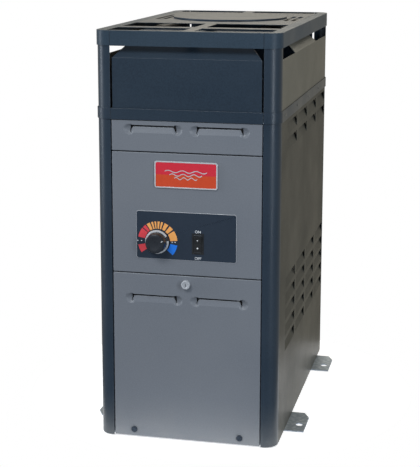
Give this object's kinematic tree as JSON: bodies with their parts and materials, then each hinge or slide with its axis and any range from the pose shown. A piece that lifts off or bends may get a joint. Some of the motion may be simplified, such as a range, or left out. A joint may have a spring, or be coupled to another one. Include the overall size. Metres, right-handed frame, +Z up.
{
  "type": "gas pool heater",
  "caption": "Floor-standing gas pool heater: louvred sheet-metal cabinet with draft hood, vented cap, thermostat knob, switch and lift-off lockable door.",
  "frame": {"origin": "centre of the four anchor holes, at floor level under the middle of the cabinet", "axes": "+X to the right as you face the controls, +Y to the back where the water unions are, +Z up"},
  "size_m": [0.465, 0.7512, 0.8655],
  "materials": {
    "blue_paint": "satin dark blue powder coat with a fine texture",
    "side_paint": "satin brownish grey powder coat",
    "grey_paint": "satin mid grey paint",
    "galvanised": "galvanised sheet",
    "stainless": "heat-marked stainless",
    "black_plastic": "matt moulded",
    "knob_plastic": "satin moulded, metallic skirt",
    "refractory": "rough board",
    "dark_plate": "printed satin plate",
    "badge_enamel": "two-tone red enamel in a bright frame",
    "screw_steel": "blued steel",
    "copper": "drawn copper",
    "black_pipe": "black pipe",
    "valve_casting": "die cast",
    "red_plastic": "gloss",
    "chrome": "bright plated",
    "bronze": "painted cast header",
    "transformer_steel": "laminated core",
    "union_plastic": "moulded union"
  },
  "bodies": {
    "cabinet": {"anchor_straps": "galvanised", "badge": "badge_enamel", "base_pan": "galvanised", "burner_tray": "galvanised", "burner_tubes": "stainless", "cable_gland": "black_plastic", "cap_front": "blue_paint", "cap_left": "blue_paint", "cap_rear": "blue_paint", "cap_right": "blue_paint", "chamber_panels": "refractory", "collar_left": "blue_paint", "collar_rails": "blue_paint", "collar_right": "blue_paint", "collar_rivets": "blue_paint", "control_panel": "grey_paint", "control_partition": "galvanised", "control_plate": "dark_plate", "finned_tubes": "copper", "flue_collector": "galvanised", "front_frame": "galvanised", "gas_manifold": "black_pipe", "gas_supply_pipe": "black_pipe", "gas_valve": "valve_casting", "grille_bars": "blue_paint", "hood_front": "blue_paint", "hood_rear": "blue_paint", "hood_top": "blue_paint", "ignition_module": "black_plastic", "jacket_top": "galvanised", "lower_post_front_left": "blue_paint", "lower_post_front_right": "blue_paint", "lower_post_rear_left": "blue_paint", "lower_post_rear_right": "blue_paint", "rear_panel": "blue_paint", "return_header": "bronze", "side_panel_left": "side_paint", "side_panel_right": "side_paint", "switch_body": "black_plastic", "thermostat_body": "black_plastic", "top_plate": "blue_paint", "transformer": "transformer_steel", "upper_post_front_left": "blue_paint", "upper_post_front_right": "blue_paint", "upper_post_rear_left": "blue_paint", "upper_post_rear_right": "blue_paint", "upper_side_left": "side_paint", "upper_side_right": "side_paint", "vent_cover": "blue_paint", "vent_panel": "grey_paint", "water_header": "bronze", "water_unions": "union_plastic"},
    "door": {"door_panel": "grey_paint", "door_screws": "screw_steel", "lock_barrel": "chrome"},
    "valve_knob": {"gas_valve_knob": "red_plastic"},
    "door_key_lock": {"lock_plug": "chrome"},
    "rocker": {"switch_rocker": "black_plastic"},
    "knob": {"thermostat_knob": "knob_plastic", "thermostat_shaft": "screw_steel"}
  },
  "joints": [
    {"name": "knob_turn", "type": "hinge", "parent": "cabinet", "child": "knob", "pos_m": [-0.06, -0.355, 0.4315], "axis": [0, -1, 0], "range_deg": [-62, 200]},
    {"name": "rocker_tip", "type": "hinge", "parent": "cabinet", "child": "rocker", "pos_m": [0.025, -0.341, 0.4305], "axis": [-1, 0, 0], "range_deg": [0, 18]},
    {"name": "door_lift_off", "type": "slide", "parent": "cabinet", "child": "door", "axis": [0, -1, 0], "range_m": [0, 0.25]},
    {"name": "lock_turn", "type": "hinge", "parent": "door", "child": "door_key_lock", "pos_m": [0, -0.345, 0.3439], "axis": [0, -1, 0], "range_deg": [-90, 0]},
    {"name": "gas_valve_turn", "type": "hinge", "parent": "cabinet", "child": "valve_knob", "pos_m": [0.04, -0.295, 0.163], "axis": [0, -1, 0], "range_deg": [0, 90]}
  ]
}
